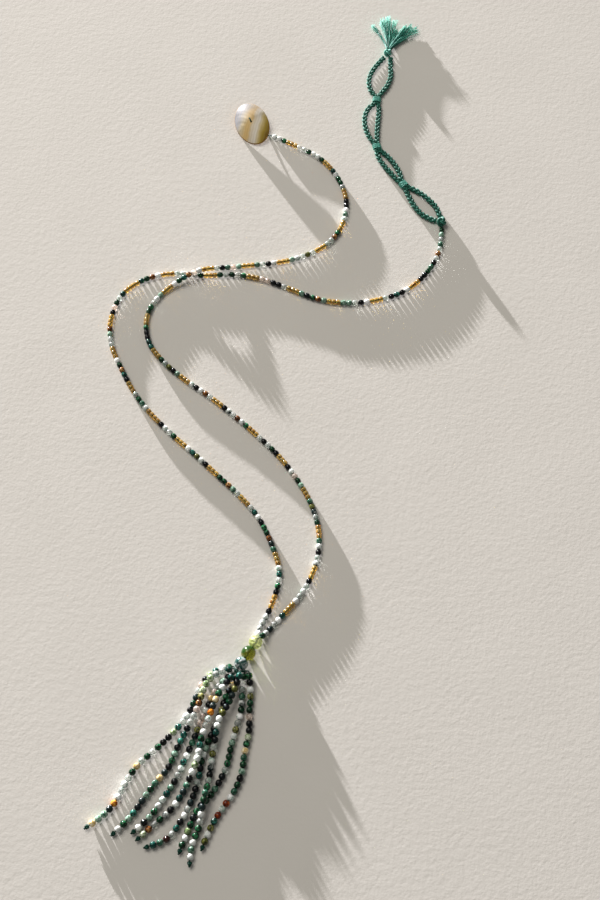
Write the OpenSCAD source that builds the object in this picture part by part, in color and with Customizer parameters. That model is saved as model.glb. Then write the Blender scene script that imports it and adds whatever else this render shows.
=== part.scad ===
// Tassel necklace laid open on a flat surface: a shell button, two strings of small beads,
// three larger beads, a tassel of eight beaded strands and a closure of two braided cords.
// The button goes through one of the closure's loops. Millimetres, +Z up, resting on z = 0.

/* [Neck strings] */
// Diameter of the small beads on the two neck strings
neck_bead_d = 2.5; // [2:0.1:2.8]
// Gap between the neck strings where one lies over the other
crossing_gap = 0.4; // [0.3:0.1:1]
// Distance from the crossing at which the upper string is back on the surface
crossing_reach = 16; // [15:1:20]

/* [Thread] */
// Diameter of the thread that every bead is strung on
thread_d = 0.6; // [0.4:0.05:0.7]
// Room between the thread and the wall of a bead's hole
thread_gap = 0.25; // [0.2:0.05:0.3]
// Gap left between two pieces that sit against each other
seat_gap = 0.1; // [0.1:0.05:0.2]

/* [Large beads] */
// Diameter of the faceted lime bead under the neck strings
lime_d = 5.4; // [4:0.1:7]
// Length of the lime bead along its hole
lime_l = 4.7; // [3:0.1:7]
// Diameter of the olive bead
olive_d = 5.6; // [4:0.1:7]
// Length of the olive bead along its hole
olive_l = 5.2; // [3:0.1:7]
// Diameter of the agate bead above the tassel
agate_d = 5.4; // [4:0.1:7]
// Length of the agate bead along its hole
agate_l = 4.4; // [3:0.1:7]

/* [Tassel] */
// Diameter of a tassel bead
tassel_bead_d = 2.75; // [2.4:0.05:2.8]
// Length of a tassel bead along its hole
tassel_bead_l = 2.3; // [1.9:0.1:2.4]
// Bare thread between two tassel beads, which lets a strand bend
bead_gap = 0.32; // [0.3:0.02:0.6]
// Diameter of the knot that ends each strand
knot_d = 1.9; // [1.2:0.1:2.2]
// Length of the knot that ends each strand
knot_l = 2.4; // [1.6:0.1:3]
// Diameter of the knot that gathers the strands under the agate bead
head_knot_d = 2.2; // [1.6:0.1:2.6]

/* [Shell button] */
// Length of the oval shell button
shell_long = 22; // [17:0.2:24]
// Width of the oval shell button
shell_wide = 15; // [14:0.2:17]
// Rise of the dome above the rim
shell_rise = 3.4; // [2:0.1:5]
// Thickness of the rim
shell_edge = 0.9; // [0.6:0.1:1.6]
// Thickness of the shell at its middle
shell_wall = 2.2; // [1.5:0.1:3]
// Tilt of the button, which lies on its near left rim
shell_tilt = 15; // [12:1:20]
// Distance between the two thread holes
hole_spacing = 2; // [1.8:0.1:4]
// Diameter of the thread stitched through the holes
stitch_d = 0.7; // [0.6:0.05:0.8]
// Diameter of the knot under the button
stitch_knot_d = 1.6; // [1.4:0.1:2]

/* [Closure] */
// Diameter of each braided cord
cord_d = 2.4; // [1.8:0.1:2.6]
// Wall of the thread wraps that bind the two cords between the loops
wrap_wall = 0.3; // [0.2:0.05:0.6]
// Length of each thread wrap along the cords
wrap_l = 3; // [2:0.1:3.4]
// Diameter of the knot that joins the neck string to the closure
end_knot_d = 4.6; // [3.6:0.1:5.4]
// Diameter of the knot at the free end of the closure
tuft_knot_d = 4; // [3:0.1:4.6]
// Length of the longest loose threads beyond that knot
tuft_l = 21.8; // [14:0.2:28]

/* [Hidden] */

round_fn = 32;
// Sides of a swept tube, and its flats lie at the stated radius
tube_fn = 8;
flat = 1 / cos(180 / tube_fn);
// Short steps that each stretch between two route points is cut into
steps = 8;
bead_pitch = tassel_bead_l + bead_gap;
bore_d = thread_d + 2 * thread_gap;

// Route points are [x, y] on the surface, and [x, y, lift] where a string can lie on others.

// First neck string, from the button to the lime bead. It crosses over the second one.
neck_a_route = [[-3.6, 155.6], [7, 150], [18, 143], [25.5, 133], [29.5, 120.5], [28, 107.5],
    [21.5, 97], [10.5, 90], [-2, 86.5], [-15, 85], [-27.5, 83], [-39.5, 78.5], [-50, 71],
    [-56, 60], [-55, 47], [-48, 36.5], [-38.2, 27.6], [-28, 19.8], [-18.4, 11.4], [-9, 2.5],
    [0, -7], [7.5, -17.5], [13.5, -29], [16.5, -41.5], [15.5, -54], [10.5, -66], [2.5, -76],
    [-3.8, -83.4]];
// Second neck string, from the closure's knot to the lime bead
neck_b_route = [[71.5, 105], [69.5, 92], [63.5, 81], [54, 72], [42, 67.5], [29.5, 66], [16.5, 68],
    [5, 73], [-7, 78], [-19.5, 80.5], [-32.5, 80], [-45.5, 81], [-58, 78], [-67.5, 70],
    [-71.5, 57.5], [-70.5, 45], [-65.5, 33], [-59.5, 21.5], [-52, 11.5], [-43, 2], [-33.5, -7],
    [-24.5, -16], [-15.5, -25], [-7.5, -35], [-2, -47], [1, -59], [-1.8, -71.5], [-6.8, -82.4]];
// Where the first neck string lies over the second
crossing = [-35.5, 80.4];

// Upper face of the lime bead, and the heading of the hole through the three large beads
junction_at = [-6.7, -85.8];
junction_heading = 238;

// Tassel strands, as x and y from the head knot and the lift in bead diameters
tassel_routes = [
    [[-2.7, 1.9, 0], [-6.5, 1.1, 0], [-10.3, -1.3, 0], [-12.9, -4.7, 0], [-14.5, -8.5, 0],
        [-16.5, -13.9, 0], [-19.9, -19.7, 0], [-24.4, -24.9, 0], [-29.9, -30.4, 0],
        [-35.4, -35.4, 0], [-39.4, -41.4, 0], [-42.4, -47.9, 0], [-46.4, -53.4, 0],
        [-54.1, -59.3, 0]],
    [[-2.7, 0.2, 0.9], [-6.3, -0.8, 0.9], [-9.7, -3.2, 0.9], [-11.9, -6.7, 0.8],
        [-13.1, -10.9, 0.8], [-14.3, -14.9, 0.8], [-16.2, -19.2, 0.6], [-18.6, -23.4, 0.15],
        [-21.4, -29.4, 0], [-24.4, -36.9, 0], [-28.9, -42.4, 0], [-33.4, -48.9, 0],
        [-37.9, -55.4, 0], [-45, -62.5, 0]],
    [[-3.1, -1.9, 0], [-5.7, -4.3, 0], [-8.1, -7.9, 0], [-10.3, -13.2, 0], [-13.3, -20.4, 0],
        [-15.7, -26.9, 0], [-18.9, -34.9, 0], [-21.9, -41.9, 0], [-25.9, -48.4, 0],
        [-30.4, -54.9, 0], [-37.7, -61.7, 0]],
    [[-1.7, -2.7, 0.9], [-3.9, -5.2, 0.9], [-5.9, -8.1, 0.9], [-7.7, -11.7, 0.8],
        [-9.1, -15.9, 0.8], [-10.7, -20.4, 0.7], [-12.6, -26.4, 0.6], [-13.1, -31.4, 0.9],
        [-14.1, -35.4, 0.9], [-15.9, -39.9, 0.4], [-18.9, -46.4, 0], [-23.4, -52.9, 0],
        [-29.4, -58.2, 0], [-36.7, -64.9, 0]],
    [[-0.1, -2.7, 0], [-1.9, -5.9, 0], [-3.7, -9.4, 0], [-4.9, -13.4, 0], [-5.9, -17.4, 0],
        [-8.1, -22.4, 0], [-9.9, -26.9, 0], [-11.3, -30.9, 0], [-12.4, -34.9, 0],
        [-12.9, -39.4, 0], [-13.9, -43.9, 0], [-15.9, -49.9, 0], [-19.4, -56.9, 0],
        [-23.9, -62.9, 0], [-33.5, -66.5, 0]],
    [[2.8, -1.7, 0], [2.2, -4.9, 0], [2.3, -9.9, 0], [1.9, -15.9, 0], [0.1, -22.4, 0],
        [-1.5, -28.9, 0], [-2.7, -35.4, 0], [-4.9, -40.9, 0], [-8.4, -46.9, 0],
        [-13.3, -52.4, 0], [-16.2, -59.4, 0], [-19.7, -68.7, 0]],
    [[1.2, -2.3, 1], [0.3, -5.3, 0.95], [-1.3, -9.4, 0.7], [-3.1, -13.9, 0.9],
        [-5.5, -17.9, 1], [-6.7, -21.9, 0.9], [-7.4, -26.9, 0.5], [-8.3, -31.9, 0],
        [-8.9, -37.9, 0], [-9.6, -42.9, 0.5], [-10.7, -48.4, 1.05], [-11.5, -52.9, 0.8],
        [-12.3, -58.4, 0.1], [-14.9, -65.4, 0], [-15.6, -75.2, 0]],
    [[4.8, -2, 0.75], [5.2, -4.6, 0.55], [5.4, -7.1, 0.2], [5.5, -10.9, 0], [5.1, -15.9, 0],
        [5.1, -23.4, 0], [3.6, -30.9, 0], [2.6, -38.9, 0], [-0.4, -46.4, 0], [-4.9, -52.9, 0],
        [-8.7, -59.9, 0], [-12, -68.5, 0]]];

// Closure wraps as [x, y, heading], and the sides of the four loops between them
wraps = [[55.2, 128.5, 126], [43.8, 149.6, 103], [44.4, 176.5, 85]];
left_loops = [[[68.8, 108.8], [65.8, 110.2], [62.4, 112.8], [59.4, 117.4], [57.2, 122.6]],
    [[50.9, 133.2], [47.2, 138.4], [44.6, 143.2]],
    [[40.4, 155.4], [38.8, 160.8], [38.7, 166.5], [40.4, 171.4]],
    [[41.8, 182], [41, 187.2], [42.3, 192.7], [45.2, 197.6], [48.4, 201.8]]];
right_loops = [[[71, 110.8], [69.2, 116.2], [65.6, 120.9], [61.2, 124.8]],
    [[53.7, 134.8], [51.4, 140], [48.2, 144.6]],
    [[44, 156], [44.4, 161.7], [45, 167.8], [45.2, 171.8]],
    [[47.2, 181.4], [49.6, 185.3], [51.2, 190.6], [51.2, 196.2], [51.4, 201.9]]];
tuft_knot_at = [50.2, 204];
// The tuft's knot as [distance along it, half width], both as shares of the knot's radius
tuft_knot_form = [[-0.95, 0.35], [-0.6, 0.8], [0, 1], [0.6, 0.8], [1, 0.5]];
// Loose threads in rows away from the knot, as [share of the length, thickness, height of the middle]
tuft_rows = [[0.2, 1.9, 1.6], [0.55, 1.8, 1], [1, 0.8, 0.5]];
// Reach of each lock of threads and of each notch beside it, across the tuft, as shares of its length
tuft_tips = [0.5, 0.83, 0.6, 1, 0.8, 0.98, 0.72, 0.95, 0.45, 0.93, 0.7, 0.93, 0.5];
tuft_heading = 79;
tuft_spread = 40;

neck_r = neck_bead_d / 2;
tassel_r = tassel_bead_d / 2;
thread_r = thread_d / 2;

function unit(v) = v / norm(v);
function ahead(heading) = [cos(heading), sin(heading)];
function aside(heading) = [sin(heading), -cos(heading)];
function ease(t) = let (u = max(0, min(1, t))) u * u * (3 - 2 * u);

// A smooth curve through the route points, as rows of [distance along it, x, y, z]. A track is
// such a curve kept at or above the radius of what lies on the surface along it.
function between(a, b, c, d, t) =
    0.5 * (2 * b + (c - a) * t + (2 * a - 5 * b + 4 * c - d) * t * t + (3 * b - a - 3 * c + d) * t * t * t);
function curve(p) =
    let (n = len(p) - 1, q = concat([2 * p[0] - p[1]], p, [2 * p[n] - p[n - 1]]))
    concat([for (i = [1:n]) for (k = [0:steps - 1]) between(q[i - 1], q[i], q[i + 1], q[i + 2], k / steps)],
        [p[n]]);
function measured(c) =
    [for (i = 0, s = 0; i < len(c); i = i + 1, s = i < len(c) ? s + norm(c[i] - c[i - 1]) : s) concat([s], c[i])];
function track(p, low) = measured([for (q = curve(p)) [q.x, q.y, max(q.z, low)]]);
function track_length(tr) = tr[len(tr) - 1][0];
function place(tr, s) = [for (axis = [1:3]) lookup(s, [for (row = tr) [row[0], row[axis]]])];
function direction(tr, s, half = 0.2) = unit(place(tr, s + half) - place(tr, s - half));

// A ring of points round a track, and the tube that joins such rings
function ring(tr, s, r, reference) =
    let (t = direction(tr, s), side = unit(cross(reference, t)), up = cross(t, side), p = place(tr, s))
    [for (k = [0:tube_fn - 1])
        let (a = (k + 0.5) * 360 / tube_fn) p + r * flat * (cos(a) * side + sin(a) * up)];

module tube(tr, stations, reference = [0, 0, 1])
    joined([for (station = stations) each ring(tr, station[0], station[1], reference)], tube_fn);

// One solid through rings of equally many points. Its ends are closed by strips from side to side.
function strip(n, first) = [for (k = [0:n / 2 - 1]) each concat(
    k < n / 2 - 1 ? [[first + k, first + k + 1, first + n - k - 1]] : [],
    k > 0 ? [[first + k, first + n - k - 1, first + n - k]] : [])];
function turned_over(faces) = [for (f = faces) [f[2], f[1], f[0]]];
module joined(points, n) {
    last = len(points) - n;
    sides = [for (at = [0:n:last - n]) for (k = [0:n - 1])
        let (a = at + k, b = at + (k + 1) % n) each [[a, b, b + n], [a, b + n, a + n]]];
    polyhedron(points, concat(turned_over(strip(n, 0)), sides, strip(n, last)), convexity = 10);
}

// Stations from one distance to another, evenly spaced and close to a pitch apart
function stretch(from, to, pitch, r) =
    let (n = max(1, round((to - from) / pitch))) [for (i = [0:n]) [from + (to - from) * i / n, r]];
// A knot in the thread, as stations that swell and narrow again
knot_form = [[0, 0.4], [0.15, 0.85], [0.4, 1], [0.65, 0.9], [0.85, 0.5], [1, 0.25]];
function knot(from, length, r) = [for (row = knot_form) [from + row[0] * length, row[1] * r]];

module on_track(tr, s, half) {
    t = direction(tr, s, half);
    translate(place(tr, s)) rotate([0, acos(t.z), atan2(t.y, t.x)]) children();
}

// A round bead with flat ends and a hole along z
module drilled_bead(d, l) {
    difference() {
        intersection() {
            sphere(d = d, $fn = round_fn);
            cube([d + 1, d + 1, l], center = true);
        }
        cylinder(d = bore_d, h = d + 1, center = true, $fn = round_fn);
    }
}

// The three large beads lie on one straight thread that runs down to the head knot.
junction_z = max(lime_d, olive_d, agate_d) / 2;
lime_s = lime_l / 2;
olive_s = lime_l + seat_gap + olive_l / 2;
agate_s = lime_l + olive_l + 2 * seat_gap + agate_l / 2;
head_s = agate_s + agate_l / 2 + 2 * seat_gap + head_knot_d / 2;
function on_core(s) = let (p = junction_at + s * ahead(junction_heading)) [p.x, p.y, junction_z];
head_at = on_core(head_s);

module on_core_at(s) {
    translate(on_core(s)) rotate([0, 90, junction_heading]) children();
}

module lime_bead() {
    color("yellowgreen") on_core_at(lime_s) difference() {
        intersection() {
            cylinder(d = lime_d, h = lime_l, center = true, $fn = 12);
            for (turn = [0:45:135]) rotate([0, 0, turn]) lime_band();
        }
        cylinder(d = bore_d, h = lime_l + 1, center = true, $fn = round_fn);
    }
}

// One of the four prisms whose flats cut the facets of the lime bead
module lime_band() {
    intersection() {
        rotate([90, 0, 0]) cylinder(d = lime_d * 1.12, h = lime_d + 1, center = true, $fn = 8);
        rotate([90, 22.5, 0]) cylinder(d = lime_d * 1.08, h = lime_d + 1, center = true, $fn = 8);
    }
}

module olive_bead() {
    color("olivedrab") on_core_at(olive_s) drilled_bead(olive_d, olive_l);
}

module agate_bead() {
    color("cadetblue") on_core_at(agate_s) drilled_bead(agate_d, agate_l);
}

module core_thread() {
    tr = measured([on_core(0), on_core(head_s + head_knot_d / 2)]);
    head = head_s - head_knot_d / 2;
    color("darkgreen") tube(tr, concat(stretch(seat_gap, head - seat_gap, 3, thread_r),
        knot(head, head_knot_d, head_knot_d / 2)));
}

// A tassel strand's track runs from the head knot's surface to the mouth of its first bead, straight
// through that bead, and on. The beads sit evenly spaced from the route's first point.
entry = [tassel_bead_l / 2 + 0.5, tassel_bead_l / 2 - 0.45];
function strand_points(k) =
    [for (p = tassel_routes[k - 1]) [head_at.x + p.x, head_at.y + p.y, tassel_r + p.z * tassel_bead_d]];
function strand_lead(p) =
    let (u = unit(p[1] - p[0]), mouth = p[0] - entry[0] * u)
    [head_at + unit(mouth - head_at) * (head_knot_d / 2 * flat + 2 * seat_gap), mouth, p[0] - entry[1] * u];
function strand_track(k) = let (p = strand_points(k)) track(concat(strand_lead(p), p), tassel_r);
function strand_start(tr) = tr[3 * steps][0];
function strand_count(tr) =
    floor((track_length(tr) - knot_l - strand_start(tr) - tassel_bead_l / 2) / bead_pitch) + 1;

module tassel_strand(k) {
    tr = strand_track(k);
    color(k % 2 == 0 ? "seagreen" : "mediumaquamarine") for (i = [0:strand_count(tr) - 1])
        on_track(tr, strand_start(tr) + i * bead_pitch, tassel_bead_l / 2)
            drilled_bead(tassel_bead_d, tassel_bead_l);
}

module tassel_thread(k) {
    tr = strand_track(k);
    second = strand_start(tr) + bead_pitch / 2;
    beads_end = second + (strand_count(tr) - 1) * bead_pitch;
    color("darkgreen") tube(tr, concat([for (i = [0:2]) [tr[i * steps][0], thread_r]],
        stretch(second, beads_end, bead_pitch, thread_r),
        knot(beads_end + seat_gap, knot_l, knot_d / 2)));
}

// The neck strings end beside each other in front of the lime bead's hole.
function string_end(side) =
    let (p = junction_at - 4 * seat_gap * ahead(junction_heading) + side * thread_d * aside(junction_heading))
    [p.x, p.y, junction_z];
function on_surface(route) = [for (p = route) [p.x, p.y, neck_r]];
function over_crossing(q) =
    (neck_bead_d + crossing_gap) * ease(1 - norm([q.x, q.y] - crossing) / crossing_reach);

// A string is thin thread up to its first bead and after its last one.
module neck_string(tr, beads_from, beads_to) {
    lead_pitch = 2 * thread_d;
    lead_in = beads_from > 0 ? stretch(0, beads_from - seat_gap, lead_pitch, thread_r) : [];
    lead_out = stretch(beads_to + seat_gap, track_length(tr), lead_pitch, thread_r);
    tube(tr, concat(lead_in, stretch(beads_from, beads_to, 2 * neck_bead_d, neck_r), lead_out));
}

function distance_to(tr, point_index) = tr[point_index * steps][0];

module neck_string_a() {
    lead = [under_knot(), under_rim()];
    flat_curve = curve(concat(lead, on_surface(neck_a_route), [string_end(-1)]));
    from = len(lead) * steps;
    tr = measured([for (i = [0:len(flat_curve) - 1]) let (q = flat_curve[i])
        [q.x, q.y, max(q.z, i < from ? thread_r : neck_r) + over_crossing(q)]]);
    last = len(lead) + len(neck_a_route) - 1;
    color("goldenrod") neck_string(tr, distance_to(tr, len(lead)), distance_to(tr, last));
}

module neck_string_b() {
    tr = track(concat(on_surface(neck_b_route), [string_end(1)]), neck_r);
    color("darkkhaki") neck_string(tr, 0, distance_to(tr, len(neck_b_route) - 1));
}

// The button lies tilted, with its near left rim on the surface and its dome up. It is drawn flat
// about the middle of its rim with its length along x. Then it is turned to its heading and tilted
// about another one, which raises the side to the left of that.
shell_turn = -67;
tilt_heading = -45;
shell_r = shell_wide / 2;
rim_gap = 1.5;
string_side = unit([0.835, -0.551]);
button_xy = [neck_a_route[0].x, neck_a_route[0].y] - (rim_towards(string_side) + rim_gap) * string_side;
turn_to_tilt = shell_turn - tilt_heading;
rim_reach = norm([shell_long / 2 * sin(turn_to_tilt), shell_wide / 2 * cos(turn_to_tilt)]);
button_z = rim_reach * sin(shell_tilt);
dome_r = (shell_r * shell_r + shell_rise * shell_rise) / (2 * shell_rise);
dome_top = shell_edge + shell_rise;
hollow = dome_top - shell_wall;
hollow_r = (shell_r * shell_r + hollow * hollow) / (2 * hollow);
stitch_x = hole_spacing / 2;
stitch_rise = stitch_d / 2 * flat + seat_gap;
stitch_knot_z = hollow - seat_gap - stitch_knot_d / 2;

// Distance from the button's middle to its rim, seen from above, in a direction on the surface
function rim_towards(v) = let (along = v * ahead(shell_turn), across = v * aside(shell_turn))
    1 / norm([along / (shell_long / 2), across / (shell_wide / 2)]);
function turned(p, turn) = [p.x * cos(turn) - p.y * sin(turn), p.x * sin(turn) + p.y * cos(turn), p.z];
function tilted(p) = [p.x, p.y * cos(shell_tilt) - p.z * sin(shell_tilt),
    p.y * sin(shell_tilt) + p.z * cos(shell_tilt)];
function on_button(p) =
    [button_xy.x, button_xy.y, button_z] + turned(tilted(turned(p, turn_to_tilt)), tilt_heading);
function under_knot() =
    on_button([stitch_x + stitch_knot_d / 2 + thread_r + seat_gap, 0, stitch_knot_z - thread_r]);
function under_rim() = let (p = button_xy + 0.93 * rim_towards(string_side) * string_side)
    [p.x, p.y, thread_r];

module on_button_at() {
    translate([button_xy.x, button_xy.y, button_z]) rotate([0, 0, tilt_heading])
        rotate([shell_tilt, 0, 0]) rotate([0, 0, turn_to_tilt]) children();
}

module shell_button() {
    color("linen") on_button_at() difference() {
        scale([shell_long / shell_wide, 1, 1]) difference() {
            intersection() {
                translate([0, 0, dome_top - dome_r]) sphere(r = dome_r, $fn = 96);
                cylinder(r = shell_r, h = dome_top + 1, $fn = 96);
            }
            translate([0, 0, hollow - hollow_r]) sphere(r = hollow_r, $fn = 96);
        }
        for (side = [-1, 1]) translate([side * stitch_x, 0, -1])
            cylinder(d = stitch_d * flat + 2 * thread_gap, h = dome_top + 2, $fn = round_fn);
    }
}

// One thread up through the first hole, over the dome and down the second, with a knot below
module button_stitch() {
    top = dome_top + stitch_rise;
    below = stitch_knot_z + stitch_knot_d / 2;
    path = [for (p = [[-stitch_x, below - 1], [-stitch_x, hollow + 0.6], [-stitch_x, dome_top - 0.4],
        [-0.55 * stitch_x, top], [0.55 * stitch_x, top], [stitch_x, dome_top - 0.4],
        [stitch_x, hollow + 0.6], [stitch_x, stitch_knot_z - stitch_knot_d / 2]]) [p.x, 0, p.y]];
    tr = measured(curve(path));
    knot_from = track_length(tr) - stitch_knot_d;
    color("seagreen") on_button_at() tube(tr, concat(
        stretch(0, knot_from - seat_gap, 0.5, stitch_d / 2),
        knot(knot_from, stitch_knot_d, stitch_knot_d / 2)), [0, 1, 0]);
}

// The closure: both cords leave the end knot, and thread wraps bind them between the loops.
cord_r = cord_d / 2;
wrap_bore_r = cord_r * flat + 2 * seat_gap;
wrap_r = wrap_bore_r + wrap_wall;
cord_spacing = 2 * cord_r * flat + seat_gap;
end_knot_r = end_knot_d / 2;
tuft_knot_r = tuft_knot_d / 2;

function wrap_ends(w, side) = let (p = [w.x, w.y] + side * cord_spacing / 2 * aside(w.z))
    [for (end = [-0.6, 0.6]) let (q = p + end * wrap_l * ahead(w.z)) [q.x, q.y, wrap_r]];
function loop_side(points) = [for (p = points) [p.x, p.y, cord_r]];
function cord_points(loops, side) = concat(
    [for (i = [0:len(wraps) - 1]) each concat(loop_side(loops[i]), wrap_ends(wraps[i], side))],
    loop_side(loops[len(wraps)]));

module closure_cord(loops, side) {
    tr = track(cord_points(loops, side), cord_r);
    tube(tr, stretch(0, track_length(tr), 3, cord_r));
}

module closure_cord_left() {
    color("mediumseagreen") closure_cord(left_loops, -1);
}

module closure_cord_right() {
    color("seagreen") closure_cord(right_loops, 1);
}

module loop_wrap(k) {
    w = wraps[k - 1];
    color("darkgreen") translate([w.x, w.y, wrap_r]) rotate([0, 90, w.z]) difference() {
        linear_extrude(wrap_l, center = true) wrap_outline(wrap_r);
        linear_extrude(wrap_l + 1, center = true) wrap_outline(wrap_bore_r);
    }
}

// Two rounds joined by a straight band, across both cords
module wrap_outline(r) {
    for (side = [-1, 1]) translate([0, side * cord_spacing / 2]) circle(r = r, $fn = round_fn);
    square([2 * r, cord_spacing], center = true);
}

module end_knot() {
    heading = 96;
    p = [neck_b_route[0].x, neck_b_route[0].y] + (end_knot_r + 2 * seat_gap) * ahead(heading);
    color("seagreen") translate([p.x, p.y, end_knot_r]) sphere(r = end_knot_r, $fn = round_fn);
}

// Points round the tuft run over its locks and back under them, each from one edge to the other.
tuft_last = len(tuft_tips) - 1;
tuft_around = concat([for (k = [0:tuft_last]) [k, 1]], [for (k = [tuft_last - 1:-1:1]) [k, -1]]);
function across(k) = 1 - 2 * k / tuft_last;
function knot_rise(k) = sqrt(1 - across(k) * across(k));
function lock_rise(k) = k == 0 || k == tuft_last ? 0 : k % 2 == 1 ? 1 : 0.5;
function knot_ring(centre, row) = [for (a = tuft_around)
    let (out = row[0] * ahead(tuft_heading) - across(a[0]) * row[1] * aside(tuft_heading))
    centre + tuft_knot_r * [out.x, out.y, a[1] * row[1] * knot_rise(a[0])]];
function lock_ring(centre, row) = [for (a = tuft_around)
    let (reach = row[0] * (1 - (1 - tuft_tips[a[0]]) * row[0] * row[0]),
        out = reach * tuft_l * ahead(tuft_heading + across(a[0]) * tuft_spread))
    [centre.x + out.x, centre.y + out.y, row[2] + a[1] * row[1] / 2 * lock_rise(a[0])]];

module cord_tuft() {
    centre = [tuft_knot_at.x, tuft_knot_at.y, tuft_knot_r];
    color("mediumseagreen") joined(concat([for (row = tuft_knot_form) each knot_ring(centre, row)],
        [for (row = tuft_rows) each lock_ring(centre, row)]), len(tuft_around));
}

// The routes are drawn about a point near the middle. This puts the frame's origin on the surface
// below the middle of everything but the closure.
to_origin = [-0.3, 0.1, 0];

translate(to_origin) {
    shell_button();
    button_stitch();
    neck_string_a();
    neck_string_b();
    lime_bead();
    olive_bead();
    agate_bead();
    core_thread();
    for (k = [1:8]) {
        tassel_strand(k);
        tassel_thread(k);
    }
    end_knot();
    closure_cord_left();
    closure_cord_right();
    for (k = [1:3]) {
        loop_wrap(k);
    }
    cord_tuft();
}
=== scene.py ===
"""The looks of a tassel necklace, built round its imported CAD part.

It lies open on a pale surface: a shell button, two strings of small stone beads, three larger
beads, a tassel of eight strands and a closure of two braided cords. Lengths in millimetres are
turned into metres where the meshes are made.
"""

import bpy
import numpy as np
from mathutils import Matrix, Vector


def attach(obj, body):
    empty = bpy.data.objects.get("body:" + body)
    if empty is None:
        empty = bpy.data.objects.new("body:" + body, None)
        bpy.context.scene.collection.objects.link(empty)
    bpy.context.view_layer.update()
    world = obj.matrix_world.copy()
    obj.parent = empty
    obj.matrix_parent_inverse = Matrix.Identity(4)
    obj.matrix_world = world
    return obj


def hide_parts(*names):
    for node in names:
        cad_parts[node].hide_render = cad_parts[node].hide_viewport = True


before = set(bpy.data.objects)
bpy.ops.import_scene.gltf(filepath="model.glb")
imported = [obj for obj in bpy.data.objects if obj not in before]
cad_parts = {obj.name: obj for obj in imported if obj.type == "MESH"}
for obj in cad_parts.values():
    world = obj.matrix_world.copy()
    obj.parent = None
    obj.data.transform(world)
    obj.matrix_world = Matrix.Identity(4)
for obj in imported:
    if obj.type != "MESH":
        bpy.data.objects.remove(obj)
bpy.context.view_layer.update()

# The camera looks down at the necklace from 63 degrees above the surface, from the tassel's side.

MM = 0.001
CAMERA_AT = Vector((8.7, -286.9, 555.5)) * MM
CAMERA_AIM = Vector((8.7, -3.9, 0)) * MM


def in_scene(name, data):
    """A new object in the scene, with a mesh, a camera or a lamp in it."""
    made = bpy.data.objects.new(name, data)
    bpy.context.scene.collection.objects.link(made)
    return made


def facing(direction):
    """The turn that points a camera or a lamp in a direction."""
    return direction.to_track_quat("-Z", "Y").to_euler()


camera_data = bpy.data.cameras.new("camera")
camera_data.lens = 61.1
camera_data.sensor_width = 36
camera = in_scene("camera", camera_data)
camera.location = CAMERA_AT
camera.rotation_euler = facing(CAMERA_AIM - CAMERA_AT)
bpy.context.scene.camera = camera
bpy.context.scene.view_settings.view_transform = "Standard"

# Closure cords: two flat three-ply braids of green cotton, which run side by side from the end
# knot to the tuft. They part to make four button loops and are bound together between the loops.

TO_ORIGIN = np.array([-0.3, 0.1, 0])
STEPS = 8
CORD_R = 1.2
CORD_SPACING = 1.5
CORD_PITCH = 0.3
WRAP_R = 1.25
WRAP_L = 3
WRAP_MOUTH = 0.6
PINCH_REACH = 2.6
PLY_R = 0.54
PLY_AROUND = 16
BRAID_SIDEWAYS = 0.74
BRAID_UP = 0.42
BRAID_REPEAT = 6.6
YARN_LOBES = 4
YARN_LOBE_RISE = 0.06
YARN_TURN = 2.6

# The place and heading of each wrap, and the points of each cord in each loop
wraps = np.array([[55.2, 128.5, 126], [43.8, 149.6, 103], [44.4, 176.5, 85]])
left_loops = [
    [[68.8, 108.8], [65.8, 110.2], [62.4, 112.8], [59.4, 117.4], [57.2, 122.6]],
    [[50.9, 133.2], [47.2, 138.4], [44.6, 143.2]],
    [[40.4, 155.4], [38.8, 160.8], [38.7, 166.5], [40.4, 171.4]],
    [[41.8, 182], [41, 187.2], [42.3, 192.7], [45.2, 197.6], [48.4, 201.8]],
]
right_loops = [
    [[71, 110.8], [69.2, 116.2], [65.6, 120.9], [61.2, 124.8]],
    [[53.7, 134.8], [51.4, 140], [48.2, 144.6]],
    [[44, 156], [44.4, 161.7], [45, 167.8], [45.2, 171.8]],
    [[47.2, 181.4], [49.6, 185.3], [51.2, 190.6], [51.2, 196.2], [51.4, 201.9]],
]


def ahead(heading):
    """The unit direction of a heading in degrees, on the surface."""
    turn = np.radians(heading)
    return np.stack([np.cos(turn), np.sin(turn)], -1)


def aside(heading):
    """The unit direction to the right of a heading in degrees."""
    turn = np.radians(heading)
    return np.stack([np.sin(turn), -np.cos(turn)], -1)


def smooth_curve(points):
    """A curve through the points: each stretch blends four neighbours with Catmull-Rom cubics."""
    points = np.asarray(points, float)
    p = np.vstack([2 * points[0] - points[1], points, 2 * points[-1] - points[-2]])
    a, b, c, d = p[:-3, None], p[1:-2, None], p[2:-1, None], p[3:, None]
    t = (np.arange(STEPS) / STEPS)[None, :, None]
    rows = b + 0.5 * ((c - a) * t + (2 * a - 5 * b + 4 * c - d) * t**2 + (3 * b - a - 3 * c + d) * t**3)
    return np.vstack([rows.reshape(-1, points.shape[1]), points[-1:]])


def run_of(line):
    """The distance along a line of points at each of them."""
    return np.concatenate([[0], np.cumsum(np.linalg.norm(np.diff(line, axis=0), axis=1))])


def at_distance(line, distance):
    """Points of a line at given distances along it, each coordinate read off straight stretches."""
    run = run_of(line)
    return np.stack([np.interp(distance, run, line[:, axis]) for axis in range(3)], -1)


def evenly(line, pitch):
    """The same line as points a pitch apart, and their distances."""
    length = run_of(line)[-1]
    distance = np.linspace(0, length, max(2, round(length / pitch) + 1))
    return at_distance(line, distance), distance


def unit(vectors):
    """Vectors divided by their own lengths."""
    return vectors / np.linalg.norm(vectors, axis=-1, keepdims=True)


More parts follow.
